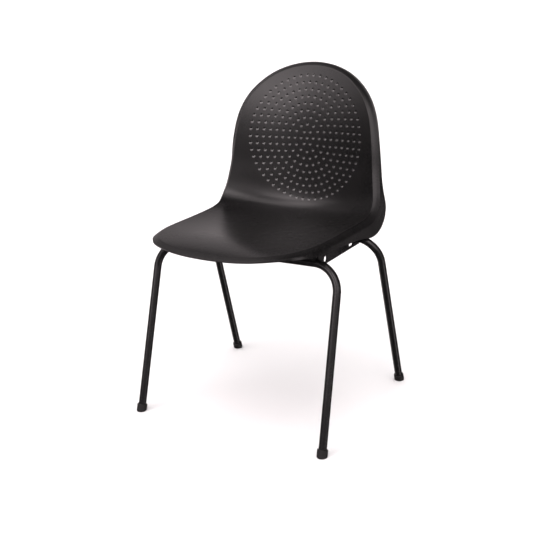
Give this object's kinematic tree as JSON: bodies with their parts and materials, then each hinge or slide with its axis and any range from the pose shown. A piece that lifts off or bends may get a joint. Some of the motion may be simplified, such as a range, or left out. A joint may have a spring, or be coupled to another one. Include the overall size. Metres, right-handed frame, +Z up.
{
  "type": "choir chair",
  "caption": "Stacking choir chair with a one-piece black moulded seat and perforated round-topped back on bent steel-tube legs.",
  "frame": {"origin": "centre of the chair's bounding box on the floor", "axes": "+Z up, the chair faces -Y, +X is the right-hand side as seen from the front"},
  "size_m": [0.5148, 0.499, 0.7825],
  "materials": {
    "shell_plastic": "satin black moulded polypropylene with a fine grain",
    "frame_paint": "black powder coat, semi-gloss",
    "cap_plastic": "matt black",
    "zinc_steel": "bright zinc plate",
    "insert_brass": "plain"
  },
  "bodies": {
    "root": {"seat_shell": "shell_plastic", "front_leg_frame": "frame_paint", "rear_leg_frame": "frame_paint", "side_plate_right": "frame_paint", "side_plate_left": "frame_paint", "bracket_front_right": "frame_paint", "bracket_front_left": "frame_paint", "bracket_rear_right": "frame_paint", "bracket_rear_left": "frame_paint", "foot_cap_front_right": "cap_plastic", "foot_cap_front_left": "cap_plastic", "foot_cap_rear_right": "cap_plastic", "foot_cap_rear_left": "cap_plastic", "seat_screws": "zinc_steel", "screw_washers": "zinc_steel", "threaded_inserts": "insert_brass"}
  },
  "joints": []
}
